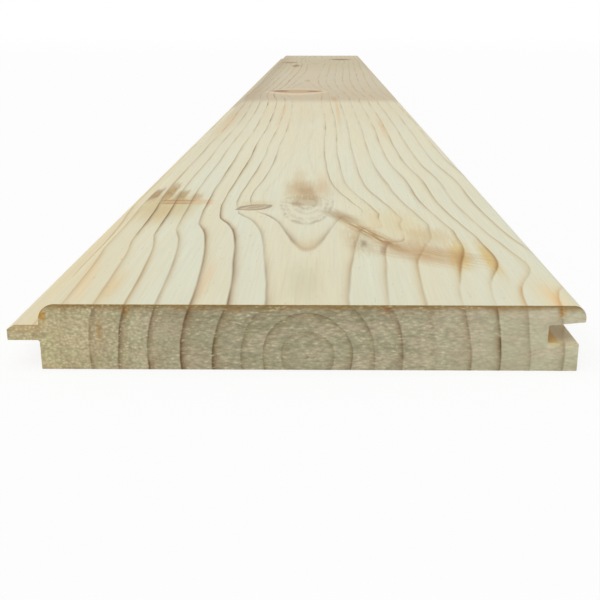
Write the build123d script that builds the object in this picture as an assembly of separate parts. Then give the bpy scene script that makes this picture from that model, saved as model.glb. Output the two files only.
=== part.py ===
from build123d import *

import os

# A planed softwood board with a tongue along one edge and a groove along the other.
# It lies on its back, face up, and runs along Y: the tongue is at -X, the groove at +X.
# The origin is at the middle of its footprint.

# Driving dimensions, in millimetres
BOARD_LENGTH = 1800.0
COVER_WIDTH = 158.6  # from the shoulder of the tongue to the face edge over the groove
BOARD_THICKNESS = 20.0

TONGUE_LENGTH = 9.4
TONGUE_THICKNESS = 4.7
TIP_CHAMFER_LENGTH = 2.3  # lead-in on the upper corner of the tongue's tip
TIP_CHAMFER_DEPTH = 1.4
TONGUE_ROOT_RADIUS = 0.8  # left by the cutter under the tongue

UPPER_LIP_THICKNESS = 6.0  # wood between the face and the back of the groove
GROOVE_FLARE = 1.0  # the upper lip thins by this much towards its edge, to lead the tongue in
JOINT_CLEARANCE = 0.3  # above and below a seated tongue
GROOVE_END_GAP = 1.2  # past the tip of a seated tongue
LOWER_LIP_SETBACK = 1.5  # the lower lip stops short, so that the joint closes at the face

SHOULDER_ARRIS_RADIUS = 5.0  # rounded face edge over the tongue
LIP_ARRIS_RADIUS = 3.8  # rounded face edge over the groove
ARRIS_SHARE = 0.9  # a rounded edge takes up to this share of the wood that it is cut from

# Levels above the back: the groove takes the tongue of another board like this one
groove_top = BOARD_THICKNESS - UPPER_LIP_THICKNESS
groove_mouth = groove_top + GROOVE_FLARE
groove_floor = groove_top - TONGUE_THICKNESS - 2 * JOINT_CLEARANCE
tongue_top = groove_top - JOINT_CLEARANCE
tongue_bottom = tongue_top - TONGUE_THICKNESS

# Places across the board, from the tip of the tongue to the face edge over the groove
tongue_tip = -(COVER_WIDTH + TONGUE_LENGTH) / 2
shoulder = tongue_tip + TONGUE_LENGTH
face_edge = shoulder + COVER_WIDTH
lower_lip_edge = face_edge - LOWER_LIP_SETBACK
groove_back = face_edge - TONGUE_LENGTH - GROOVE_END_GAP

# The rounded edges, and the flat of the face between them
shoulder_arris = min(SHOULDER_ARRIS_RADIUS, ARRIS_SHARE * (BOARD_THICKNESS - tongue_top))
lip_arris = min(LIP_ARRIS_RADIUS, ARRIS_SHARE * (BOARD_THICKNESS - groove_mouth))
face_start = (shoulder + shoulder_arris, BOARD_THICKNESS)
face_end = (face_edge - lip_arris, BOARD_THICKNESS)


def groove_side():
    """From the corner of the back up round the lower lip, the groove and the upper lip."""
    lips = Polyline(
        (lower_lip_edge, 0),
        (lower_lip_edge, groove_floor),
        (groove_back, groove_floor),
        (groove_back, groove_top),
        (face_edge, groove_mouth),
        (face_edge, BOARD_THICKNESS - lip_arris),
    )
    TangentArc(lips @ 1, face_end, tangent=(0, 1))


def tongue_side():
    """From the face down over its rounded edge, round the tongue and down to the back."""
    arris = TangentArc(face_start, (shoulder, BOARD_THICKNESS - shoulder_arris), tangent=(-1, 0))
    tongue = Polyline(
        arris @ 1,
        (shoulder, tongue_top),
        (tongue_tip + TIP_CHAMFER_LENGTH, tongue_top),
        (tongue_tip, tongue_top - TIP_CHAMFER_DEPTH),
        (tongue_tip, tongue_bottom),
        (shoulder - TONGUE_ROOT_RADIUS, tongue_bottom),
    )
    root = TangentArc(tongue @ 1, (shoulder, tongue_bottom - TONGUE_ROOT_RADIUS), tangent=(1, 0))
    Line(root @ 1, (shoulder, 0))


with BuildPart() as board:
    with BuildSketch(Plane.XZ):
        with BuildLine():
            groove_side()
            Line(face_end, face_start)
            tongue_side()
            Line((shoulder, 0), (lower_lip_edge, 0))
        make_face()
    extrude(amount=BOARD_LENGTH / 2, both=True)

os.makedirs("parts", exist_ok=True)
export_step(board.part, "parts/board.step")
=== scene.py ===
import math
from functools import partial

import bmesh
import bpy
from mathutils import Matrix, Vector, noise


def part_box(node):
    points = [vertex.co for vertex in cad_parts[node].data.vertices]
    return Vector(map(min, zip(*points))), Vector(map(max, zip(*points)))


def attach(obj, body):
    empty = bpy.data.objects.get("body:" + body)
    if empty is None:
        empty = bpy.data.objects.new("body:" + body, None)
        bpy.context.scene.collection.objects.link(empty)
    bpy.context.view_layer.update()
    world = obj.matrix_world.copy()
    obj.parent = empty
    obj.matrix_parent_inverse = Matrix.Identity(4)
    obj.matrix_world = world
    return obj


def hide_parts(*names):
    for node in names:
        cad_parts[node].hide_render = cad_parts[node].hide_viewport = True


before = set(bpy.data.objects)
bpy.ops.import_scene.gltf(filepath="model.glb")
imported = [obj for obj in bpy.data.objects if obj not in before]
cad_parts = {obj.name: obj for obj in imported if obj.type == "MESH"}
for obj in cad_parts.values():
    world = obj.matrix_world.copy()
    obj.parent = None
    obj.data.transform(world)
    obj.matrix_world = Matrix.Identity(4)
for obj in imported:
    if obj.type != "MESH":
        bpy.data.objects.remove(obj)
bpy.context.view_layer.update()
boardLow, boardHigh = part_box("board")
mm = 0.001
touching = 1e-6  # points this near each other, in metres, count as one
print("frame: board is", [round(side / mm, 1) for side in boardHigh - boardLow], "mm")


def hexColour(text):
    # sRGB hex to the linear colour that the shaders take
    parts = [int(text[at:at + 2], 16) / 255 for at in (1, 3, 5)]
    return [c / 12.92 if c < 0.04045 else ((c + 0.055) / 1.055) ** 2.4 for c in parts] + [1]


def tintOver(colour, ground):
    # what the ground is multiplied by to look like this colour
    return [part / whole for part, whole in zip(hexColour(colour), hexColour(ground))]


def curvePoints(points, across, up=(0, 1)):
    # a curve brought into the unit square that the curve node works in
    (left, right), (low, high) = across, up
    return [((x - left) / (right - left), (y - low) / (high - low)) for x, y in points]


def addNode(tree, kind, inputs=(), curve=None, **settings):
    # one node with its settings; inputs are in order or by key, each a plain value, a hex colour,
    # a socket, or a node for the first output that it has in use
    node = tree.nodes.new(kind if kind.startswith("NodeGroup") else "ShaderNode" + kind)
    for name, value in settings.items():
        setattr(node, name, value)
    for key, value in inputs.items() if isinstance(inputs, dict) else enumerate(inputs):
        if isinstance(value, str):
            value = hexColour(value)
        if isinstance(value, bpy.types.Node):
            value = next(output for output in value.outputs if output.enabled)
        if isinstance(value, bpy.types.NodeSocket):
            tree.links.new(value, node.inputs[key])
        else:
            node.inputs[key].default_value = value
    if curve:
        line = node.mapping.curves[0]
        while len(line.points) < len(curve):
            line.points.new(0.5, 0.5)
        for point, place in zip(line.points, curve):
            point.location = place
            point.handle_type = "AUTO_CLAMPED"
        node.mapping.update()
    return node


def newMaterial(name):
    material = bpy.data.materials.new(name)
    material.use_nodes = True
    material.node_tree.nodes.clear()
    return material, partial(addNode, material.node_tree)


def addSurface(add, colour, relief, look):
    # the material's surface: its colour, how matt it is, and relief too fine to model
    bump = add("Bump", {"Strength": look["bumpStrength"], "Distance": look["bumpDepth"], "Height": relief})
    shader = add("BsdfPrincipled", {"Base Color": colour, "Roughness": look["roughness"], "Normal": bump})
    add("OutputMaterial", {"Surface": shader})


# The board's section in mm, as it was machined
boardShape = {
    "tongueLength": 9.4,
    "tongueTop": 13.7,
    "tongueBottom": 9.0,
    "tipChamferLength": 2.3,
    "tipChamferDepth": 1.4,
    "rootRadius": 0.8,
    "grooveTop": 14.0,
    "grooveMouth": 15.0,
    "grooveFloor": 8.7,
    "grooveDepth": 10.6,
    "lowerLipSetback": 1.5,
    "lowerLipRadius": 0.7,
    "shoulderRadius": 5.0,
    "lipRadius": 3.8,
    "easing": 0.25,  # sharp arrises, rubbed down by handling
    "easedSegments": 2,
    "roundSegments": 10,
    "sawnGrid": 0.6,  # cell size on the sawn ends
    "lengthCuts": 12,
    "endCut": 3,  # one more cut this far from each end
    "tearDepth": 0.16,  # fibres torn out by the saw
    "tearShares": (0.5, 0.35, 0.25),  # even, in small tears, in wider tufts
    "tearDensity": (0.9, 1.3),
    "tuftDensity": (0.35, 0.6),
    "tuftSeed": 5,
    "sawMark": 0.04,
    "sawPitch": 1.7,
    "sawBow": 0.06,
    "sharpAngle": 35,
}


def sectionCorners(shape):
    left, right = boardLow.x / mm, boardHigh.x / mm
    top = boardHigh.z / mm
    shoulder = left + shape["tongueLength"]
    lowerLip = right - shape["lowerLipSetback"]
    grooveBack = right - shape["grooveDepth"]
    easing = shape["easing"]
    # across, up, radius of the corner
    return [
        (shoulder, 0, easing),
        (lowerLip, 0, easing),
        (lowerLip, shape["grooveFloor"], shape["lowerLipRadius"]),
        (grooveBack, shape["grooveFloor"], easing),
        (grooveBack, shape["grooveTop"], easing),
        (right, shape["grooveMouth"], easing),
        (right, top, shape["lipRadius"]),
        (shoulder, top, shape["shoulderRadius"]),
        (shoulder, shape["tongueTop"], easing),
        (left + shape["tipChamferLength"], shape["tongueTop"], easing),
        (left, shape["tongueTop"] - shape["tipChamferDepth"], easing),
        (left, shape["tongueBottom"], easing),
        (shoulder, shape["tongueBottom"], shape["rootRadius"]),
    ]


def machineSection(mesh, shape):
    corners = sectionCorners(shape)
    start = boardLow.y
    ring = [mesh.verts.new((x * mm, start, z * mm)) for x, z, radius in corners]
    end = mesh.faces.new(ring)
    grown = bmesh.ops.extrude_face_region(mesh, geom=[end])["geom"]
    moved = [part for part in grown if isinstance(part, bmesh.types.BMVert)]
    bmesh.ops.translate(mesh, verts=moved, vec=(0, boardHigh.y - start, 0))
    bmesh.ops.recalc_face_normals(mesh, faces=mesh.faces)
    for x, z, radius in corners:
        arris = [
            edge for edge in mesh.edges
            if all(math.hypot(v.co.x - x * mm, v.co.z - z * mm) < touching for v in edge.verts)
        ]
        segments = shape["easedSegments"] if radius == shape["easing"] else shape["roundSegments"]
        bmesh.ops.bevel(
            mesh, geom=arris, offset=radius * mm, affect="EDGES",
            segments=segments, profile=0.5, material=-1,
        )


def endFaces(mesh, station):
    return [face for face in mesh.faces if abs(face.calc_center_median().y - station) < touching]


def sawEnds(mesh, shape):
    # a fine grid on each sawn end, then saw marks and torn fibres, always inwards
    tearX, tearZ = shape["tearDensity"]
    tuftX, tuftZ = shape["tuftDensity"]
    even, tearShare, tuftShare = shape["tearShares"]
    for station, inward in ((boardLow.y, 1), (boardHigh.y, -1)):
        for axis in (0, 2):
            normal = Vector((axis == 0, 0, axis == 2))
            low, high = boardLow[axis], boardHigh[axis]
            cells = round((high - low) / (shape["sawnGrid"] * mm))
            faces = endFaces(mesh, station)
            edges = list({edge for face in faces for edge in face.edges})
            verts = list({vert for face in faces for vert in face.verts})
            geometry = faces + edges + verts
            for cell in range(1, cells):
                place = Vector((0, 0, 0))
                place[axis] = low + (high - low) * cell / cells
                cut = bmesh.ops.bisect_plane(
                    mesh, geom=geometry, dist=touching / 10, plane_co=place, plane_no=normal,
                )
                geometry = cut["geom"]
        faces = endFaces(mesh, station)
        for face in faces:
            face.material_index = 1
        for vert in {vert for face in faces for vert in face.verts}:
            x, z = vert.co.x / mm, vert.co.z / mm
            tear = noise.noise(Vector((x * tearX, station, z * tearZ)))
            tuft = noise.noise(Vector((x * tuftX, shape["tuftSeed"] + station, z * tuftZ)))
            mark = math.sin((x + shape["sawBow"] * z * z) * math.tau / shape["sawPitch"])
            torn = shape["tearDepth"] * (even + tearShare * tear + tuftShare * tuft)
            vert.co.y += inward * max(0.0, torn + shape["sawMark"] * (0.5 + 0.5 * mark)) * mm


# Room for baked textures, as shares of a square map: the section unrolled across it with the length
# upwards, and the two ends beside it
bakeRoom = {
    "sides": (0.01, 0.87),
    "ends": (0.89, 0.99),
    "length": (0.01, 0.99),
    "endGap": 0.02,
    "faceShare": 3,  # a stretch of the face gets this many times the room of one on the back
}


def layBakeMap(mesh, shape, room):
    layer = mesh.loops.layers.uv.new("OFBake")
    size = boardHigh - boardLow
    nearEnd, farEnd = endFaces(mesh, boardLow.y) + endFaces(mesh, boardHigh.y)
    foot, head = room["length"]

    # walk round the section from the back's corner below the tongue; each step has one long face behind it
    walk = list(nearEnd.loops)
    first = min(range(len(walk)), key=lambda at: (round(walk[at].vert.co.z, 7), walk[at].vert.co.x))
    steps = []
    walked = 0
    for loop in walk[first:] + walk[:first]:
        here, there = loop.vert.co, loop.link_loop_next.vert.co
        onFace = min(here.z, there.z) > (shape["grooveMouth"] - 0.01) * mm
        begun = walked
        walked += (there - here).length * (room["faceShare"] if onFace else 1)
        steps.append((loop, begun, walked))
    low, high = room["sides"]
    for loop, begun, reached in steps:
        here, there = loop.vert.co.xz, loop.link_loop_next.vert.co.xz
        for corner in loop.link_loop_radial_next.face.loops:
            place = corner.vert.co
            turn = begun if (place.xz - here).length < (place.xz - there).length else reached
            share = (place.y - boardLow.y) / size.y
            corner[layer].uv = (low + (high - low) * turn / walked, foot + (head - foot) * share)

    low, high = room["ends"]
    half = (head - foot - room["endGap"]) / 2
    for end, start in ((nearEnd, foot), (farEnd, head - half)):
        for corner in end.loops:
            place = corner.vert.co - boardLow
            corner[layer].uv = (low + (high - low) * place.z / size.z, start + half * place.x / size.x)


def shapeBoard(shape):
    mesh = bmesh.new()
    machineSection(mesh, shape)
    layBakeMap(mesh, shape, bakeRoom)
    span = boardHigh.y - boardLow.y
    stations = [boardLow.y + span * cut / shape["lengthCuts"] for cut in range(1, shape["lengthCuts"])]
    stations += [boardLow.y + shape["endCut"] * mm, boardHigh.y - shape["endCut"] * mm]
    for station in stations:
        bmesh.ops.bisect_plane(
            mesh, geom=mesh.verts[:] + mesh.edges[:] + mesh.faces[:],
            plane_co=(0, station, 0), plane_no=(0, 1, 0),
        )
    sawEnds(mesh, shape)
    data = bpy.data.meshes.new("floorboard")
    mesh.to_mesh(data)
    mesh.free()
    data.shade_smooth()
    data.set_sharp_from_angle(angle=math.radians(shape["sharpAngle"]))
    piece = bpy.data.objects.new("floorboard", data)
    bpy.context.scene.collection.objects.link(piece)
    return piece


# How the tree grew, in mm: across from the middle of the board, stations from its near end
treeGrowth = {
    "length": 1800,
    "pithHeight": 4.2,
    "pithAcross": [(0, 3.4), (66, 2.4), (100, 1.6), (125, 0), (145, -2.2), (165, -4.5), (200, -6.8),
                   (250, -7.2), (330, -7.2), (450, -6), (600, -8), (700, -11), (800, -17), (950, -16),
                   (1200, -9), (1500, -5), (1800, -3)],
    "pithRange": (-25, 10),
    "swelling": [(0, 0.3), (30, 1.5), (55, 3.4), (75, 4.8), (93, 6.6), (107, 8.5), (122, 12), (136, 17.5),
                 (147, 20.3), (160, 20.5), (175, 19), (190, 17), (205, 15), (225, 13.5), (260, 12),
                 (330, 11), (600, 11), (700, 12.5), (800, 18.5), (845, 12), (893, 7.2), (930, 4.7),
                 (978, 3.4), (1150, 1), (1400, 3), (1540, 12), (1600, 13), (1700, 6), (1800, 5)],
    "swellingRange": (0, 22),
    "swellingLean": 1.4,  # the branches lean to the near end, so outer rings swell earlier
    "leanRadius": 24,
    "ringRadii": [-20, 0, 7.5, 13, 19.5, 27.7, 37, 46.3, 54.6, 63, 72.3, 80.5, 89.5, 98.5],
    "firstRing": -2.67,
    "oneSided": 0.035,  # rings are this much wider on the groove side
    "reachOut": 160,  # radius at which the pith's wander no longer shows
    "barkRadius": 92,
    "sidesMeet": (-8, 12),  # here the years of the tongue side give way to those of the groove side
    # grain pushed aside by the steep branch on the groove side, along lines that lean across the board
    "pushes": [
        {"by": 7.2, "station": 148, "length": 30, "lean": 1.3, "from": (16, 54)},
        {"by": 6, "station": 188, "length": 17, "lean": 2.7, "from": (15, 24)},
        {"by": -6, "station": 188, "length": 17, "lean": 2.7, "from": (34, 46)},
        {"by": 2.6, "station": 38, "length": 22, "lean": 0, "from": (44, 52)},
        {"by": 4, "station": 205, "length": 50, "lean": 0, "from": (28, 48)},
    ],
    "wander": {"cell": (22, 130, 22), "detail": 4},
    "wanderSize": (2.6, 0, 2.2),  # across and up, not along
}


def readCurve(add, share, points, across, up):
    # the height of a curve at this share of its way across
    low, high = up
    level = add("FloatCurve", {"Value": share}, curve=curvePoints(points, across, up))
    return add("Math", [level, high - low, low], operation="MULTIPLY_ADD")


def growthRings(growth):
    # gives each point of the board its ring number; a whole number is the end of a growing year
    tree = bpy.data.node_groups.new("growthRings", "ShaderNodeTree")
    for name in ("Ring", "Across", "Station", "Height"):
        tree.interface.new_socket(name, in_out="OUTPUT", socket_type="NodeSocketFloat")
    tree.interface.new_socket("Place", in_out="OUTPUT", socket_type="NodeSocketVector")
    add = partial(addNode, tree)
    length = growth["length"]
    metres = add("TexCoord").outputs["Object"]
    middle = add("VectorMath", [metres, [1 / mm] * 3], operation="MULTIPLY")
    place = add("VectorMath", [middle, (0, length / 2, 0)], operation="ADD")
    x, station, height = add("SeparateXYZ", [place]).outputs
    share = add("Math", [station, length], operation="DIVIDE")

    # slow wander of the grain
    wander = grainNoise(add, place, growth["wander"]).outputs["Color"]
    centred = add("VectorMath", [wander, (0.5, 0.5, 0.5)], operation="SUBTRACT")
    swayed = add("VectorMath", [centred, growth["wanderSize"], place], operation="MULTIPLY_ADD")
    swayedX, _, swayedHeight = add("SeparateXYZ", [swayed]).outputs

    # grain goes round the steep branch
    across = swayedX
    for push in growth["pushes"]:
        lean = add("Math", [x, push["lean"], -push["station"]], operation="MULTIPLY_ADD")
        along = add("Math", [station, lean], operation="ADD")
        ratio = add("Math", [along, push["length"]], operation="DIVIDE")
        squared = add("Math", [ratio, ratio], operation="MULTIPLY")
        negative = add("Math", [squared, -1], operation="MULTIPLY")
        bell = add("Math", [negative], operation="EXPONENT")
        reach = [*push["from"], 0, push["by"]]
        side = add("MapRange", [x, *reach], interpolation_type="SMOOTHSTEP")
        moved = add("Math", [bell, side], operation="MULTIPLY")
        across = add("Math", [across, moved], operation="SUBTRACT")

    # distance from the pith, which wanders along the board
    up = add("Math", [swayedHeight, growth["pithHeight"]], operation="SUBTRACT")
    offset = add("Math", [across, growth["pithAcross"][0][1]], operation="SUBTRACT")
    firstArm = add("CombineXYZ", {0: offset, 2: up})
    firstRadius = add("VectorMath", [firstArm], operation="LENGTH")
    pith = readCurve(add, share, growth["pithAcross"], (0, length), growth["pithRange"])
    outward = add("Math", [firstRadius, -1 / growth["reachOut"], 1], operation="MULTIPLY_ADD")
    pithHere = add("Math", [pith, outward], operation="MULTIPLY")
    arm = add("Math", [across, pithHere], operation="SUBTRACT")
    armVector = add("CombineXYZ", {0: arm, 2: up})
    radius = add("VectorMath", [armVector], operation="LENGTH")
    evened = add("Math", [arm, -growth["oneSided"], radius], operation="MULTIPLY_ADD")

    # the stem swells at each whorl of branches
    swellLean = growth["swellingLean"]
    atPith = swellLean * growth["leanRadius"]
    leaned = add("Math", [evened, swellLean, station], operation="MULTIPLY_ADD")
    leanedShare = add("MapRange", [leaned, atPith, atPith + length])
    swell = readCurve(add, leanedShare, growth["swelling"], (0, length), growth["swellingRange"])
    barkFade = add("Math", [evened, -1 / growth["barkRadius"], 1], operation="MULTIPLY_ADD")
    grown = add("Math", [swell, barkFade], operation="MULTIPLY")
    yearRadius = add("Math", [evened, grown], operation="SUBTRACT")

    # radius to ring number
    radii = growth["ringRadii"]
    numbers = [growth["firstRing"]] + list(range(len(radii) - 1))
    fromFirst = add("Math", [yearRadius, radii[0]], operation="SUBTRACT")
    radiusShare = add("Math", [fromFirst, radii[-1] - radii[0]], operation="DIVIDE")
    ends = (radii[0], radii[-1])
    ring = readCurve(add, radiusShare, zip(radii, numbers), ends, (numbers[0], numbers[-1]))
    add("NodeGroupOutput", [ring, x, station, height, place])
    return tree


def patchSpot():
    # how much of a stain, knot, painted shade or painted highlight is at this point: a soft patch with
    # frayed ends, along its own axis
    tree = bpy.data.node_groups.new("patchSpot", "ShaderNodeTree")
    for name in ("Across", "Along", "Strand", "Middle across", "Middle along", "Half width", "Half length",
                 "Turn", "Soft across", "Soft along", "Ragged", "Strands"):
        tree.interface.new_socket(name, in_out="INPUT", socket_type="NodeSocketFloat")
    for name in ("Amount", "Oval", "Lens"):
        tree.interface.new_socket(name, in_out="OUTPUT", socket_type="NodeSocketFloat")
    add = partial(addNode, tree)
    given = add("NodeGroupInput").outputs
    strand = given["Strand"]
    aside = add("Math", [given["Across"], given["Middle across"]], operation="SUBTRACT")
    along = add("Math", [given["Along"], given["Middle along"]], operation="SUBTRACT")
    offset = add("CombineXYZ", [aside, along])
    turned = add("VectorRotate", {"Vector": offset, "Angle": given["Turn"]}, rotation_type="Z_AXIS")

    # distance from the middle: 1 at the edge of a box, an oval or a pointed lens
    half = add("CombineXYZ", [given["Half width"], given["Half length"], 1])
    share = add("VectorMath", [turned, half], operation="DIVIDE")
    oval = add("VectorMath", [share], operation="LENGTH")
    size = add("VectorMath", [share], operation="ABSOLUTE")
    sideways = add("VectorMath", [size, (1, 0, 0)], operation="DOT_PRODUCT")
    lengthways = add("VectorMath", [size, (0, 1, 0)], operation="DOT_PRODUCT")
    lens = add("Math", [sideways, sideways, lengthways], operation="MULTIPLY_ADD")

    # the sides fray less than the ends
    sideShare = 0.4
    rough = add("Math", [strand, given["Ragged"]], operation="MULTIPLY")
    roughSide = add("Math", [rough, sideShare, sideways], operation="MULTIPLY_ADD")
    roughEnd = add("Math", [rough, lengthways], operation="ADD")
    innerSide = add("Math", [1, given["Soft across"]], operation="SUBTRACT")
    innerEnd = add("Math", [1, given["Soft along"]], operation="SUBTRACT")
    inSide = add("MapRange", [roughSide, 1, innerSide], interpolation_type="SMOOTHSTEP")
    inEnd = add("MapRange", [roughEnd, 1, innerEnd], interpolation_type="SMOOTHSTEP")
    inside = add("Math", [inSide, inEnd], operation="MULTIPLY")
    gaps = add("Math", [strand, 0.5], operation="SUBTRACT")
    thinned = add("Math", [gaps, given["Strands"], 1], operation="MULTIPLY_ADD")
    amount = add("Math", [inside, thinned], operation="MULTIPLY")
    add("NodeGroupOutput", [amount, oval, lens])
    return tree


# Fibres that fray the edges of stains, in mm across and along them
strandLayer = {"cell": (1.1, 14, 1), "detail": 3, "roughness": 0.6, "spread": (0, 1), "values": (-1.6, 1.6)}


def grainNoise(add, place, layer):
    # noise in cells of so many mm; with "values", the "spread" of it that is used is drawn out to them
    cell = [1 / size for size in layer["cell"]]
    scaled = add("VectorMath", [place, cell], operation="MULTIPLY")
    grain = add("TexNoise", {
        "Vector": scaled, "Scale": 1, "Detail": layer["detail"], "Roughness": layer.get("roughness", 0.5),
    })
    if "values" not in layer:
        return grain
    return add("MapRange", [grain, *layer["spread"], *layer["values"]])


def addStrands(add, across, along, turn):
    # fibres for the stains that lie this way
    flat = add("CombineXYZ", [across, along])
    angle = -math.radians(turn)
    turned = add("VectorRotate", {"Vector": flat, "Angle": angle}, rotation_type="Z_AXIS")
    return grainNoise(add, turned, strandLayer)


def eachYear(add, share, side, left, right):
    # a value for every year, given for the tongue side and for the groove side
    values = []
    for years in (left, right):
        curve = curvePoints(enumerate(years), (0, len(years) - 1))
        values.append(add("FloatCurve", {"Value": share}, curve=curve))
    return add("Mix", {0: side, 2: values[0], 3: values[1]})


def yearLines(add, ring, side, look):
    # the dark end of each year: a thin line, sharp on its outer side, and a soft glow inside it
    nearest = add("Math", [ring], operation="ROUND")
    lineShare = add("Math", [nearest, len(look["lineLeft"]) - 1], operation="DIVIDE")
    strength = eachYear(add, lineShare, side, look["lineLeft"], look["lineRight"])
    phase = add("Math", [ring], operation="FRACT")
    late = add("Math", [phase, look["lineSharpness"]], operation="POWER")
    early = add("MapRange", [phase, 0, look["lineEdge"], 1, 0], interpolation_type="SMOOTHSTEP")
    line = add("Math", [late, early], operation="MAXIMUM")
    glow = add("Math", [phase, look["glowSharpness"]], operation="POWER")
    return strength, line, glow


# Planed spruce. Years count outwards from the pith, on the tongue side (left) and the groove side (right).
# A change along or across the board is given as two places in mm, then the value at each if not 0 and 1.
planedLook = {
    "pale": "#DCDBC2",
    "warm": "#DFD2AC",
    "glow": "#D6BE8E",
    "line": "#785832",
    "goldLine": "#AC8B46",
    "far": "#C4BBA0",
    "duct": "#A88F6A",
    "lineLeft": [0.3, 0.08, 0.55, 0.62, 1.0, 0.9, 0.7, 0.62, 0.6, 0.55, 0.5, 0.5, 0.5],
    "lineRight": [0.3, 0.1, 0.55, 0.5, 0.5, 0.48, 0.58, 0.68, 0.6, 0.6, 0.5, 0.5, 0.5],
    "warmLeft": [0.3, 0.3, 0.3, 0.45, 0.1, 0.4, 0.05, 0.1, 0.3, 0.5, 0.8, 0.9, 0.9],
    "warmRight": [0.3, 0.3, 0.3, 0.45, 0.15, 0.2, 0.25, 0.25, 0.2, 0.2, 0.2, 0.25, 0.25],
    "lineSharpness": 13,
    "lineEdge": 0.07,
    "glowSharpness": 8,
    "heartGlow": (0.7, 1.6, 0, 0.8),  # ring numbers: no glow at the pith
    "bands": {"cell": (9, 170, 9), "detail": 3, "spread": (0.3, 0.7), "values": (-0.22, 0.22)},
    "evenAlong": (150, 380, 0, 0.7),  # further along, the years differ less in warmth
    "evenWarmth": 0.42,
    "patches": {"cell": (9, 70, 9), "detail": 3, "spread": (0.3, 0.7), "values": (0.4, 1.4)},
    "gaps": {"cell": (5, 60, 5), "detail": 2, "spread": (0.35, 0.65), "values": (0, 1)},
    "gapsAlong": (200, 420, 0, 0.9),  # further along, gaps break the lines
    "goldAside": (22, 60),  # towards both edges the lines turn golden
    "goldShift": 26,  # on the groove side they start this much nearer the middle
    "goldAlong": (60, 160, 1, 0.45),
    "farAlong": (645, 706),  # beyond here the wood is a little darker
    "faceHeight": (13, 17),  # stains of the face fade out below it, and the painted shade and stain in the groove above it
    "grooveHeight": (14.2, 13.8),
    "strandTurns": (0, 21, 52),  # ways in which stains are frayed, in degrees
    "ducts": {"cell": (0.7, 5, 0.7), "detail": 1, "spread": (0.7, 0.8), "values": (0, 0.3)},
    "fibres": {"cell": (0.7, 40, 0.7), "detail": 4, "roughness": 0.65},
    "streaks": (0.2, 0.8, 0.93, 1.07),  # fibre noise to brightness
    "bumpStrength": 0.3,
    "bumpDepth": 0.00008,
    "roughness": 0.58,
}

# Places on the face where the years' lines are faint: middle (across, station), half size, turn in degrees
quietPlaces = [
    {"at": (26.5, 112), "half": (8, 37), "turn": 20.4, "soft": (0.4, 0.4), "share": 1},
    {"at": (-22, 143), "half": (9.5, 13), "soft": (0.3, 0.3), "share": 1},
    {"at": (1.5, 68), "half": (11, 14), "share": 0.45},
    {"at": (63, 6), "half": (26, 40), "soft": (0.4, 0.5), "share": 0.65},
    {"at": (-68, 30), "half": (14, 70), "soft": (0.5, 0.5), "share": 0.3},
    {"at": (-21, 806), "half": (36, 40), "soft": (0.6, 0.6), "share": 0.9},
]


def tintPatch(at, half, colour, **more):
    # middle and half size in mm, across and along; the colour is the one that pale wood takes there. Most
    # are stains; a few are painted shade and a painted highlight
    return {"at": at, "half": half, "colour": colour, **more}


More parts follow.
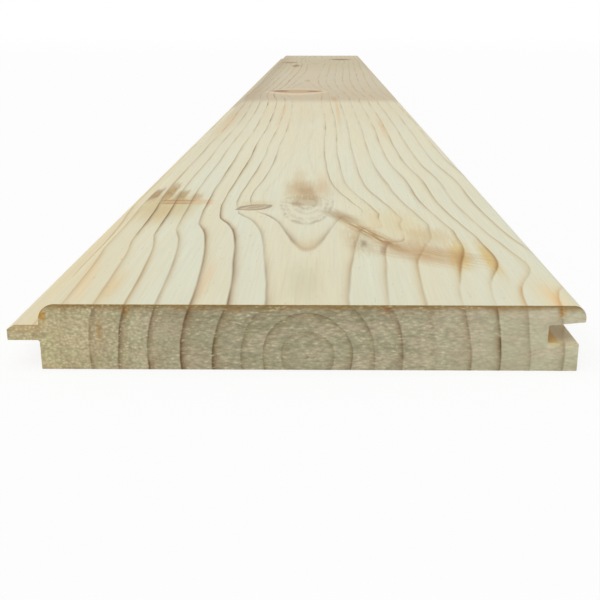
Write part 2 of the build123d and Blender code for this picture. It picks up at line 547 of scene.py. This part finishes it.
# Stains and knots on the face, by across and station, with their turn in degrees; one with onLine
# darkens the year's line there, a pointed one is shaped like a lens
faceStains = [
    # slow changes of tone: the tongue side, round the whorl, by the groove's near corner
    tintPatch((-76, 1150), (32, 1050), "#C2BCA2", soft=(0.95, 0.8), ragged=0, strands=0),
    tintPatch((-60, 146), (20, 46), "#CBBE8E", soft=(0.8, 0.9), ragged=0.2, strands=0.2),
    tintPatch((4, 186), (16, 40), "#D0C5A4", soft=(0.9, 0.9), ragged=0.3, strands=0.2),
    tintPatch((-21, 147), (11, 16), "#CFC29A", soft=(0.9, 0.9), ragged=0.2, strands=0.2),
    tintPatch((36, 110), (20, 44), "#DAD0A8", soft=(0.9, 0.9), strands=0.3),
    tintPatch((76, 8), (9, 30), "#E1D6B0", soft=(0.9, 0.9), ragged=0.2, strands=0.2),
    # pitch beyond the eye, and the eye's brown middle
    tintPatch((-3, 186), (9, 34), "#CBBF9C", turn=3, soft=(0.5, 0.8)),
    tintPatch((-4, 216), (5, 46), "#D2C8A6"),
    tintPatch((0.5, 178), (6, 22), "#C6B893", turn=8, soft=(0.7, 0.8)),
    tintPatch((8, 207), (4, 45), "#DACEAE", soft=(0.7, 0.9)),
    tintPatch((0.5, 157), (8, 16), "#C5B997", soft=(0.6, 0.6), ragged=0.2, strands=0.1),
    tintPatch((-4, 151), (4, 7), "#B9AD92", turn=25, ragged=0.3),
    # the steep branch on the groove side, cut lengthways
    tintPatch((15.5, 125), (6.5, 20), "#B6A680", turn=22),
    tintPatch((23.5, 100), (5.6, 42), "#BAA674", turn=20.4, soft=(0.7, 0.5), strands=0.9),
    tintPatch((27, 89), (6.5, 24), "#CDBE92", turn=20.4, soft=(0.9, 0.7), strands=0.8),
    tintPatch((25, 95), (2.8, 36), "#BA9C60", turn=20.4, soft=(0.8, 0.6), ragged=0.8, strands=1.2),
    tintPatch((32.7, 74.5), (3.2, 16), "#C2A972", turn=20.4, soft=(0.7, 0.5), strands=0.9),
    # bark and pitch round it
    tintPatch((21, 80), (7.5, 30), "#BCAC82", turn=6, soft=(0.9, 0.8), ragged=0.7, strands=0.8),
    tintPatch((23, 76), (1.8, 8), "#ACA187"),
    tintPatch((29.6, 66), (1.6, 10), "#B5A98F", turn=-6),
    tintPatch((41, 66), (17, 26), "#C8B48C", turn=48, soft=(0.8, 0.7), ragged=0.6, strands=0.6),
    tintPatch((47.5, 57), (15, 23), "#C9B385", turn=52, soft=(0.8, 0.7), ragged=0.6, strands=0.6),
    tintPatch((48, 88), (13, 22), "#CFBF92", soft=(0.8, 0.9), ragged=0.7, strands=0.5),
    tintPatch((55.5, 59), (5.5, 31), "#D7C47E", turn=-4, soft=(0.9, 0.8), strands=0.3),
    tintPatch((55, 46), (6, 36), "#B9A25A", soft=(0.7, 0.8), strands=0.2, onLine=True),
    tintPatch((65, 54), (6, 38), "#B39B55", soft=(0.7, 0.8), strands=0.2, onLine=True),
    tintPatch((65, 54), (3.5, 32), "#D5BC70", soft=(0.9, 0.9), strands=0.2),
    # a flat branch on the tongue side, and pitch behind it
    tintPatch((-52.5, 155), (13.5, 8), "#DAC59C", soft=(0.35, 0.6), ragged=0.3, strands=0.2),
    tintPatch((-57.5, 157.5), (9.5, 3), "#BAAC90", soft=(0.5, 0.9), ragged=0.2, strands=0.2),
    tintPatch((-57.5, 151.5), (8.5, 3), "#BCAE92", soft=(0.5, 0.9), ragged=0.2, strands=0.2),
    tintPatch((-70.4, 173), (3.4, 23), "#926C10", soft=(0.5, 0.8)),
    tintPatch((-63.8, 181), (3.2, 31), "#A28030", soft=(0.6, 0.8)),
    tintPatch((-57.5, 171), (3.4, 18), "#A68C4A", soft=(0.6, 0.8)),
    tintPatch((-50, 167), (3.4, 11), "#C6B28D", soft=(0.6, 0.8)),
    tintPatch((-60.5, 124), (5, 30), "#D4C496", ragged=0.8, strands=0.8),
    tintPatch((-62.9, 128), (4, 44), "#644A14", soft=(0.6, 0.8), strands=0.2, onLine=True),
    tintPatch((-56.4, 124), (4, 44), "#7A6226", soft=(0.6, 0.8), strands=0.2, onLine=True),
    # warm patches by the near end
    tintPatch((-56.5, 18), (4.5, 28), "#DCCA9C", soft=(0.9, 0.9)),
    tintPatch((2, 24), (9, 36), "#D2CFB2", soft=(0.9, 0.9), strands=0.1),
    tintPatch((-28.8, 30), (3, 30), "#DFCFAE", soft=(0.9, 0.9)),
    tintPatch((-66.5, 26), (3.6, 42), "#E1D4B0", turn=5, soft=(0.9, 0.9), strands=0.2),
    tintPatch((66, 12), (5, 34), "#CDAA6C", turn=-8, strands=0.2, onLine=True),
    tintPatch((77, 8), (4, 30), "#D6BF8E", strands=0.2, onLine=True),
    tintPatch((76, 6), (2.4, 22), "#E0D2AA", soft=(0.9, 0.9), strands=0.2),
    # where the grain parts in front of the eye
    tintPatch((2, 74), (6, 13), "#DED9B8", strands=0.2),
    tintPatch((0.5, 67), (11, 14), "#D8CDAE", strands=0.2, onLine=True),
    # second whorl
    tintPatch((-21, 795), (40, 56), "#F4EDD2", soft=(0.4, 0), pointed=True),
    tintPatch((-21, 800), (35, 38), "#BAAB84", soft=(0.6, 0), pointed=True),
    tintPatch((-40, 805), (14, 20), "#958258", soft=(0.9, 0), pointed=True),
    tintPatch((-2, 802), (12, 18), "#A69876", soft=(0.9, 0), pointed=True),
    tintPatch((19, 700), (4, 40), "#D6BF97"),
    # warm lines and edges further along
    tintPatch((21, 570), (2.6, 190), "#DBC598", soft=(0.9, 0.8), strands=0.5),
    tintPatch((-66, 470), (7, 150), "#DECFA8", soft=(0.9, 0.8), strands=0.5),
    tintPatch((52.5, 450), (3, 90), "#D6C096", soft=(0.9, 0.8), strands=0.6),
    tintPatch((-27, 560), (3, 130), "#DACAA6", soft=(0.9, 0.8), strands=0.6),
    # slow darkening, then the third whorl
    tintPatch((0, 640), (90, 330), "#D7D2B6", soft=(0.1, 0.9), ragged=0.1, strands=0),
    tintPatch((0, 1500), (90, 420), "#D1CFAF", soft=(0.1, 0.9), ragged=0.1, strands=0),
    tintPatch((-52, 1485), (20, 45), "#B69E6C", pointed=True),
    tintPatch((-38, 1365), (9, 64), "#A48B58", soft=(0.8, 0.7), pointed=True),
    tintPatch((42, 1612), (27, 48), "#9C855A", soft=(0.7, 0.7), pointed=True),
]
# In the groove, by across and height: painted shade on its floor and back wall all along the board, golden
# by the back wall, where a year's line also crosses
grooveShadeAndStain = [
    tintPatch((75, 9), (2, 3), "#DDC07C", soft=(0.4, 0.3), ragged=0, strands=0),
    tintPatch((79, 9), (6, 3), "#D8CDB2", soft=(0.3, 0.3), ragged=0, strands=0),
]

# The eye of a branch in the middle of the face, and the lens beside it
eyeKnot = {
    "at": (1, 157),
    "nearStretch": 4.2,
    "farStretch": 1.2,
    "reach": 14,
    "lines": [(0, 0), (3, 0.05), (4.4, 0.5), (5.6, 0.15), (6.6, 0.25), (7.8, 0.02), (9.4, 0.3),
              (10.4, 0.15), (11.4, 0.5), (12.4, 0), (14, 0)],
    "breaks": {"cell": (4, 9, 4), "detail": 3, "roughness": 0.6},  # the arcs wobble, come and go
    "wobble": 2.6,
    "broken": (0.38, 0.6, 0.05, 1),
    "fade": (174, 160),  # they are lost in the pitch beyond the eye
    "colour": "#947C58",
    "clearAt": (1, 149),  # round here the inner years have no lines of their own
    "clearHalf": (19, 85),
    "clearEdge": (1, 0.85),
    "clearRings": (1.25, 1.5, 1, 0),
}
lensKnot = {
    "at": (-21.7, 142.5),
    "half": (9.4, 5.8),
    "turn": 36,
    "reach": 2,
    "lines": [(0, 0.4), (0.2, 0.7), (0.35, 0.3), (0.5, 0.35), (0.75, 0.8), (0.9, 0.8), (1.15, 0), (2, 0)],
    "flames": {
        "cell": (1.6, 24, 1.6), "detail": 3, "roughness": 0.6, "spread": (0, 1), "values": (-0.2, 0.2),
    },
    "colour": "#927C60",
}


def addSpot(add, spot, settings, across, along, edge=None):
    # a spot's group with its place, size and turn, and what its edge is like
    inputs = {
        "Across": across, "Along": along, "Turn": -math.radians(settings.get("turn", 0)),
        "Middle across": settings["at"][0], "Middle along": settings["at"][1],
        "Half width": settings["half"][0], "Half length": settings["half"][1],
    }
    return add("Group", inputs | (edge or {}), node_tree=spot).outputs


def spotAmount(add, spot, settings, across, along, strands):
    soft = settings.get("soft", (0.8, 0.8))
    nearest = min(strands, key=lambda turn: abs(turn - settings.get("turn", 0)))
    edge = {
        "Strand": strands[nearest], "Soft across": soft[0], "Soft along": soft[1],
        "Ragged": settings.get("ragged", 0.4), "Strands": settings.get("strands", 0.4),
    }
    shape = addSpot(add, spot, settings, across, along, edge)
    if settings.get("pointed"):
        return add("MapRange", [shape["Lens"], 1, 1 - soft[0]], interpolation_type="SMOOTHSTEP")
    return shape["Amount"]


def addStainsAndPaintedLight(add, colour, stains, spot, pure, places, line, mask):
    # stains, and the painted shade and highlight among them, are multiplied on, so that the grain shows
    # through
    for settings in stains:
        amount = spotAmount(add, spot, settings, *places)
        if settings.get("onLine"):
            amount = add("Math", [amount, line], operation="MULTIPLY")
        masked = add("Math", [amount, mask], operation="MULTIPLY")
        tint = tintOver(settings["colour"], pure)
        colour = add("Mix", {0: masked, 6: colour, 7: tint}, data_type="RGBA", blend_type="MULTIPLY")
    return colour


def woodTone(add, wood, side, look):
    # each year's wood is pale or warm
    year = add("Math", [wood["Ring"]], operation="CEIL")
    yearShare = add("Math", [year, len(look["warmLeft"]) - 1], operation="DIVIDE")
    yearWarm = eachYear(add, yearShare, side, look["warmLeft"], look["warmRight"])
    band = grainNoise(add, wood["Place"], look["bands"])
    evenShare = add("MapRange", [wood["Station"], *look["evenAlong"]])
    evened = add("Mix", {0: evenShare, 2: yearWarm, 3: look["evenWarmth"]})
    warmth = add("Math", [evened, band], operation="ADD", use_clamp=True)
    return add("Mix", {0: warmth, 6: look["pale"], 7: look["warm"]}, data_type="RGBA")


def shownLines(add, wood, strength, spot, strands, look, eye):
    # how much of the years' lines shows; inside the eye the branch's own lines take over
    x, station, place = wood["Across"], wood["Station"], wood["Place"]
    patch = grainNoise(add, place, look["patches"])
    shown = add("Math", [strength, patch], operation="MULTIPLY")
    gap = grainNoise(add, place, look["gaps"])
    gapShare = add("MapRange", [station, *look["gapsAlong"]])
    whole = add("Mix", {0: gapShare, 2: 1, 3: gap})
    shown = add("Math", [shown, whole], operation="MULTIPLY")
    for quiet in quietPlaces:
        here = spotAmount(add, spot, quiet, x, station, strands)
        faint = add("Math", [here, -quiet["share"], 1], operation="MULTIPLY_ADD", use_clamp=True)
        shown = add("Math", [shown, faint], operation="MULTIPLY")
    clear = addSpot(add, spot, {"at": eye["clearAt"], "half": eye["clearHalf"]}, x, station)
    clearRound = add("MapRange", [clear["Oval"], *eye["clearEdge"]])
    inner = add("MapRange", [wood["Ring"], *eye["clearRings"]])
    hidden = add("Math", [clearRound, inner], operation="MULTIPLY")
    kept = add("Math", [1, hidden], operation="SUBTRACT")
    return add("Math", [shown, kept], operation="MULTIPLY", use_clamp=True)


def drawYears(add, wood, ground, shown, line, glow, look):
    # the glow of each year, then its line, which is golden towards the edges near the first whorl
    heart = add("MapRange", [wood["Ring"], *look["heartGlow"]])
    glowKept = add("Math", [glow, heart], operation="MULTIPLY")
    glowShown = add("Math", [glowKept, shown], operation="MULTIPLY")
    glowing = add("Mix", {0: glowShown, 6: ground, 7: look["glow"]}, data_type="RGBA")
    toTongue = add("Math", [wood["Across"], -1], operation="MULTIPLY")
    toGroove = add("Math", [wood["Across"], look["goldShift"]], operation="ADD")
    aside = add("Math", [toTongue, toGroove], operation="MAXIMUM")
    outer = add("MapRange", [aside, *look["goldAside"]])
    goldEnd = add("MapRange", [wood["Station"], *look["goldAlong"]])
    golden = add("Math", [outer, goldEnd], operation="MULTIPLY")
    lineColour = add("Mix", {0: golden, 6: look["line"], 7: look["goldLine"]}, data_type="RGBA")
    lineShown = add("Math", [line, shown], operation="MULTIPLY")
    return add("Mix", {0: lineShown, 6: glowing, 7: lineColour}, data_type="RGBA")


def drawEye(add, wood, colour, onFace, eye):
    # arcs round the eye, drawn out towards the near end
    aside = add("Math", [wood["Across"], eye["at"][0]], operation="SUBTRACT")
    along = add("Math", [wood["Station"], eye["at"][1]], operation="SUBTRACT")
    beyond = add("Math", [along, eye["farStretch"]], operation="DIVIDE")
    before = add("Math", [along, -eye["nearStretch"]], operation="DIVIDE")
    drawn = add("Math", [beyond, before], operation="MAXIMUM")
    arm = add("CombineXYZ", [aside, drawn])
    reach = add("VectorMath", [arm], operation="LENGTH")
    breaks = grainNoise(add, wood["Place"], eye["breaks"])
    centred = add("Math", [breaks, 0.5], operation="SUBTRACT")
    wobbled = add("Math", [centred, eye["wobble"], reach], operation="MULTIPLY_ADD")
    share = add("Math", [wobbled, eye["reach"]], operation="DIVIDE")
    arcs = add("FloatCurve", {"Value": share}, curve=curvePoints(eye["lines"], (0, eye["reach"])))
    near = add("MapRange", [wood["Station"], *eye["fade"]])
    kept = add("Math", [arcs, near], operation="MULTIPLY")
    faced = add("Math", [kept, onFace], operation="MULTIPLY")
    broken = add("MapRange", [breaks, *eye["broken"]])
    shown = add("Math", [faced, broken], operation="MULTIPLY")
    return add("Mix", {0: shown, 6: colour, 7: eye["colour"]}, data_type="RGBA")


def drawLens(add, wood, colour, onFace, spot, knot):
    # the pointed knot beside the eye, with lines round it
    shape = addSpot(add, spot, knot, wood["Across"], wood["Station"])
    flame = grainNoise(add, wood["Place"], knot["flames"])
    rough = add("Math", [flame, shape["Lens"]], operation="ADD")
    share = add("Math", [rough, knot["reach"]], operation="DIVIDE")
    lines = add("FloatCurve", {"Value": share}, curve=curvePoints(knot["lines"], (0, knot["reach"])))
    shown = add("Math", [lines, onFace], operation="MULTIPLY")
    return add("Mix", {0: shown, 6: colour, 7: knot["colour"]}, data_type="RGBA")


def planedSpruce(rings, spot, look):
    # planed spruce, unfinished: pale and matt, a thin brown line where each year's growth ended
    material, add = newMaterial("planedSpruce")
    wood = add("Group", node_tree=rings).outputs
    ring, x, station, height, place = wood
    side = add("MapRange", [x, *treeGrowth["sidesMeet"]], interpolation_type="SMOOTHSTEP")
    strength, line, glow = yearLines(add, ring, side, look)
    tone = woodTone(add, wood, side, look)
    strands = {turn: addStrands(add, x, station, turn) for turn in look["strandTurns"]}
    shown = shownLines(add, wood, strength, spot, strands, look, eyeKnot)
    lined = drawYears(add, wood, tone, shown, line, glow, look)

    # darker beyond the first whorl, then stains and knots, and painted shade in the groove
    far = add("MapRange", [station, *look["farAlong"]], interpolation_type="SMOOTHSTEP")
    farTint = tintOver(look["far"], look["pale"])
    colour = add("Mix", {0: far, 6: lined, 7: farTint}, data_type="RGBA", blend_type="MULTIPLY")
    onFace = add("MapRange", [height, *look["faceHeight"]])
    faced = (x, station, strands)
    colour = addStainsAndPaintedLight(add, colour, faceStains, spot, look["pale"], faced, line, onFace)
    # painted shade in the groove: its floor and back wall darker, golden by the back wall
    inGroove = add("MapRange", [height, *look["grooveHeight"]])
    grooved = (x, height, strands)
    colour = addStainsAndPaintedLight(add, colour, grooveShadeAndStain, spot, look["pale"], grooved, line, inGroove)
    colour = drawEye(add, wood, colour, onFace, eyeKnot)
    colour = drawLens(add, wood, colour, onFace, spot, lensKnot)

    # resin ducts are short brown dashes; fibres streak it all and roughen it
    duct = grainNoise(add, place, look["ducts"])
    ducted = add("Mix", {0: duct, 6: colour, 7: look["duct"]}, data_type="RGBA")
    fibre = grainNoise(add, place, look["fibres"])
    streak = add("MapRange", [fibre, *look["streaks"]])
    streaked = add("VectorMath", {0: ducted, "Scale": streak}, operation="SCALE")
    addSurface(add, streaked, fibre, look)
    return material


# The sawn ends: tone from dark (0) to light (1) across the board, and the strength of each year's line
sawnLook = {
    "dark": "#A99F81",
    "light": "#D0C9AC",
    "tone": [(-84, 1), (-65, 0.85), (-45, 0.62), (-28, 0.3), (-5, 0.3), (5, 0.32), (20, 0.4), (36, 0.45),
             (50, 0.58), (66, 0.8), (84, 0.95)],
    "bands": {"cell": (12, 300, 5), "detail": 3, "spread": (0.3, 0.7), "values": (-0.25, 0.25)},
    "shadeAside": (60, 20),  # the middle is darker towards the face
    "shadeHeight": (9, 17, 0, 0.32),
    "warmSide": "#F9F0DA",  # tint at the tongue side
    "warmAcross": (-30, -75),
    "line": "#6B4C28",
    "pithLine": "#78704F",
    "pithAside": (16, 28),
    "glow": "#A5854F",
    "glowShare": 0.5,
    "lineLeft": [0.4, 0.45, 0.6, 0.55, 0.95, 0.9, 0.8, 0.65, 0.55, 0.15, 0.2, 0.3, 0.3],
    "lineRight": [0.4, 0.45, 0.65, 0.5, 0.45, 0.15, 0.55, 0.9, 0.4, 0.4, 0.3, 0.3, 0.3],
    "lineSharpness": 10,
    "lineEdge": 0.06,
    "glowSharpness": 4,
    "patches": {"cell": (9, 300, 7), "detail": 2, "spread": (0.3, 0.7), "values": (0.55, 1.25)},
    "arris": "#9A7C45",
    "arrisFoot": {"cell": (7, 1, 1e6), "detail": 4, "spread": (0.3, 0.7), "values": (18.6, 16.2)},
    "arrisTop": (20, 0, 0.95),  # browner from the foot up to the face
    "dotCell": (0.95, 1, 0.9),
    "rowCell": (2, 1, 0.8),
    "rowsAcross": (-48, -22),  # dots turn to rows here
    "hollowDepth": 0.45,
    "fuzz": {"cell": (1.4, 1, 0.6), "detail": 3, "roughness": 0.65},
    "torn": (0.05, 0.55, 0.74, 1.26),  # torn fibres to brightness
    "cleanAcross": (36, 64, 0, 0.55),  # fewer on the groove side
    "hues": {"cell": (11, 1, 5), "detail": 2, "spread": (0.38, 0.62), "values": (0, 1)},
    "greenish": "#FBFFFB",
    "pinkish": "#FFFBFA",
    "tuft": "#DDD5B0",
    "tufts": (0.36, 0.5),
    "clusters": {"cell": (9, 1, 4), "detail": 2, "spread": (0.38, 0.62), "values": (0, 0.6)},
    "bumpStrength": 0.7,
    "bumpDepth": 0.0003,
    "roughness": 0.85,
}
# On the near end, by across and height: stains, and a painted highlight on the lower lip's top arris
endStainsAndHighlight = [
    tintPatch((-73.6, 16.6), (1.9, 2.6), "#C79C48", soft=(0.9, 0.9), ragged=0.2, strands=0),
    tintPatch((26.5, 18.6), (2.2, 2.0), "#CBB090", soft=(0.9, 0.9), ragged=0.3, strands=0),
    tintPatch((77, 18), (1.6, 2.4), "#C6A468", soft=(0.9, 0.9), ragged=0.3, strands=0),
    tintPatch((-49, 18), (1.6, 3), "#CBB078", soft=(0.9, 0.9), ragged=0.3, strands=0),
    tintPatch((-57, 12), (1.4, 6), "#C4A872", soft=(0.9, 0.9), ragged=0.6, strands=0.5),
    tintPatch((-79.5, 13), (6.5, 1.7), "#D0BF9C", soft=(0.3, 0.8), ragged=0.2, strands=0),
    # painted highlight: the lower lip's top arris, paler where the light catches it
    tintPatch((77.8, 7.9), (5.4, 1.1), "#DFD5B0", soft=(0.3, 0.6), ragged=0.2, strands=0),
]


def endTone(add, wood, fromMiddle, look):
    # pale by the edges, dark in the middle
    ends = (look["tone"][0][0], look["tone"][-1][0])
    acrossShare = add("MapRange", [wood["Across"], *ends])
    tone = add("FloatCurve", {"Value": acrossShare}, curve=curvePoints(look["tone"], ends))
    band = grainNoise(add, wood["Place"], look["bands"])
    middle = add("MapRange", [fromMiddle, *look["shadeAside"]])
    upper = add("MapRange", [wood["Height"], *look["shadeHeight"]])
    shade = add("Math", [middle, upper], operation="MULTIPLY")
    shaded = add("Math", [tone, shade], operation="SUBTRACT")
    toned = add("Math", [shaded, band], operation="ADD", use_clamp=True)
    base = add("Mix", {0: toned, 6: look["dark"], 7: look["light"]}, data_type="RGBA")
    warm = add("MapRange", [wood["Across"], *look["warmAcross"]])
    return add("Mix", {0: warm, 6: base, 7: look["warmSide"]}, data_type="RGBA", blend_type="MULTIPLY")


def drawEndYears(add, wood, ground, fromMiddle, strength, line, glow, look):
    # as on the face, but with greyer lines round the pith
    patch = grainNoise(add, wood["Place"], look["patches"])
    shown = add("Math", [strength, patch], operation="MULTIPLY", use_clamp=True)
    glowShown = add("Math", [glow, shown], operation="MULTIPLY")
    glowHalf = add("Math", [glowShown, look["glowShare"]], operation="MULTIPLY")
    glowing = add("Mix", {0: glowHalf, 6: ground, 7: look["glow"]}, data_type="RGBA")
    lineShown = add("Math", [line, shown], operation="MULTIPLY")
    away = add("MapRange", [fromMiddle, *look["pithAside"]])
    lineColour = add("Mix", {0: away, 6: look["pithLine"], 7: look["line"]}, data_type="RGBA")
    return add("Mix", {0: lineShown, 6: glowing, 7: lineColour}, data_type="RGBA")


def tornGrain(add, x, place, look):
    # torn fibres: dots on the tongue side, rows of tufts on the rest
    hollows = []
    for size in (look["dotCell"], look["rowCell"]):
        cell = [1 / side for side in size]
        scaled = add("VectorMath", [place, cell], operation="MULTIPLY")
        hollows.append(add("TexVoronoi", {"Vector": scaled, "Scale": 1}))
    rowSide = add("MapRange", [x, *look["rowsAcross"]])
    hollow = add("Mix", {0: rowSide, 2: hollows[0], 3: hollows[1]})
    fuzz = grainNoise(add, place, look["fuzz"])
    return add("Math", [hollow, -look["hollowDepth"], fuzz], operation="MULTIPLY_ADD")


def sawnEndGrain(rings, spot, look):
    # the same spruce cross-cut by a saw: torn fibres make it rough and darker, with pale tufts
    material, add = newMaterial("sawnEndGrain")
    wood = add("Group", node_tree=rings).outputs
    ring, x, station, height, place = wood
    nearEnd = add("Math", [station, treeGrowth["length"] / 2], operation="LESS_THAN")
    fromMiddle = add("Math", [x], operation="ABSOLUTE")
    tone = endTone(add, wood, fromMiddle, look)
    side = add("MapRange", [x, *treeGrowth["sidesMeet"]], interpolation_type="SMOOTHSTEP")
    strength, line, glow = yearLines(add, ring, side, look)
    lined = drawEndYears(add, wood, tone, fromMiddle, strength, line, glow, look)

    # the planer's pressure browned the top arris
    foot = grainNoise(add, place, look["arrisFoot"])
    arris = add("MapRange", [height, foot, *look["arrisTop"]], interpolation_type="SMOOTHSTEP")
    browned = add("Mix", {0: arris, 6: lined, 7: look["arris"]}, data_type="RGBA")
    places = (x, height, {0: addStrands(add, x, height, 0)})
    # stains on the near end, and a painted highlight along the lower lip's top arris
    stainedAndHighlit = addStainsAndPaintedLight(add, browned, endStainsAndHighlight, spot, look["light"], places, line, nearEnd)

    # faint changes of hue, then the torn fibres with pale tufts in clusters
    grain = tornGrain(add, x, place, look)
    torn = add("MapRange", [grain, *look["torn"]])
    hueShare = grainNoise(add, place, look["hues"])
    hue = add("Mix", {0: hueShare, 6: look["greenish"], 7: look["pinkish"]}, data_type="RGBA")
    tinted = add("Mix", {0: 1, 6: stainedAndHighlit, 7: hue}, data_type="RGBA", blend_type="MULTIPLY")
    quietSide = add("MapRange", [x, *look["cleanAcross"]])
    tornHere = add("Mix", {0: quietSide, 2: torn, 3: 1})
    gritty = add("VectorMath", {0: tinted, "Scale": tornHere}, operation="SCALE")
    tuft = add("MapRange", [grain, *look["tufts"]])
    cluster = grainNoise(add, place, look["clusters"])
    fuzzy = add("Math", [tuft, cluster], operation="MULTIPLY")
    rough = add("Math", [1, quietSide], operation="SUBTRACT")
    fuzz = add("Math", [fuzzy, rough], operation="MULTIPLY")
    tufted = add("Mix", {0: fuzz, 6: gritty, 7: look["tuft"]}, data_type="RGBA")
    addSurface(add, tufted, grain, look)
    return material


floorboard = shapeBoard(boardShape)
print("board:", len(floorboard.data.polygons), "faces")

rings = growthRings(treeGrowth)
spot = patchSpot()
floorboard.data.materials.append(planedSpruce(rings, spot, planedLook))
floorboard.data.materials.append(sawnEndGrain(rings, spot, sawnLook))
print("materials:", [material.name for material in floorboard.data.materials])

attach(floorboard, "root")
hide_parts("board")

# Studio: a white floor, soft light from overhead, the camera by the near end
studio = {
    "floorSize": 60,
    "floorColour": "#FAFAFA",
    "floorWhite": 0.82,  # share of plain white that the camera sees on the floor near the board
    "floorFade": (1.4, 4.0),  # metres from the board over which the floor becomes plain white
    "cameraPlace": (7.88, -1153.55, 99.19),  # mm
    "cameraTilt": 17.027,  # degrees below the horizon
    "cameraTurn": 0.6,  # degrees to the left
    "focalPixels": 923.7,
    "framePixels": 600,
    "sensorWidth": 36,
    "clipStart": 0.01,
    "sidewaysPixels": 13,
    "sunTilt": (14, -14),  # degrees towards the camera and to the left
    "sunStrength": 1.4,
    "sunAngle": 70,
    "sunPlace": (0, 0, 2),
    "worldStrength": 0.52,
}


def seenDirectly(add):
    # 1 for camera, mirror and glass rays, which see plain white; light on the board is not changed
    path = add("LightPath").outputs
    seen = add("Math", [path["Is Camera Ray"], path["Is Glossy Ray"]], operation="MAXIMUM")
    return add("Math", [seen, path["Is Transmission Ray"]], operation="MAXIMUM")


def setStudio(settings):
    scene = bpy.context.scene
    floorMesh = bmesh.new()
    bmesh.ops.create_grid(floorMesh, x_segments=1, y_segments=1, size=settings["floorSize"] / 2)
    floorData = bpy.data.meshes.new("floor")
    floorMesh.to_mesh(floorData)
    floorMesh.free()
    floor = bpy.data.objects.new("floor", floorData)
    scene.collection.objects.link(floor)

    # white paper: matt, so that it takes a faint shadow near the board
    paper, add = newMaterial("whitePaper")
    place = add("TexCoord").outputs["Object"]
    away = add("VectorMath", [place], operation="LENGTH")
    whiteShare = add("MapRange", [away, *settings["floorFade"], settings["floorWhite"], 1])
    share = add("Math", [seenDirectly(add), whiteShare], operation="MULTIPLY")
    matt = add("BsdfDiffuse", {"Color": settings["floorColour"]})
    white = add("Emission", {"Color": (1, 1, 1, 1), "Strength": 1})
    mixed = add("MixShader", [share, matt, white])
    add("OutputMaterial", {"Surface": mixed})
    floorData.materials.append(paper)

    world = bpy.data.worlds.new("studio")
    world.use_nodes = True
    world.node_tree.nodes.clear()
    add = partial(addNode, world.node_tree)
    strength = add("MapRange", [seenDirectly(add), 0, 1, settings["worldStrength"], 1])
    sky = add("Background", {"Color": (1, 1, 1, 1), "Strength": strength})
    add("OutputWorld", {"Surface": sky})
    scene.world = world

    lamp = bpy.data.lights.new("softLamp", "SUN")
    lamp.energy = settings["sunStrength"]
    lamp.angle = math.radians(settings["sunAngle"])
    lampObject = bpy.data.objects.new("softLamp", lamp)
    lampObject.location = settings["sunPlace"]
    lampObject.rotation_euler = [math.radians(turn) for turn in settings["sunTilt"]] + [0]
    scene.collection.objects.link(lampObject)

    lens = bpy.data.cameras.new("camera")
    lens.sensor_width = settings["sensorWidth"]
    lens.lens = settings["focalPixels"] * lens.sensor_width / settings["framePixels"]
    lens.shift_x = -settings["sidewaysPixels"] / settings["framePixels"]
    lens.clip_start = settings["clipStart"]
    camera = bpy.data.objects.new("camera", lens)
    camera.location = [part * mm for part in settings["cameraPlace"]]
    turns = (90 - settings["cameraTilt"], 0, settings["cameraTurn"])
    camera.rotation_euler = [math.radians(turn) for turn in turns]
    scene.collection.objects.link(camera)
    scene.camera = camera
    scene.view_settings.view_transform = "Standard"


setStudio(studio)
print("studio set")
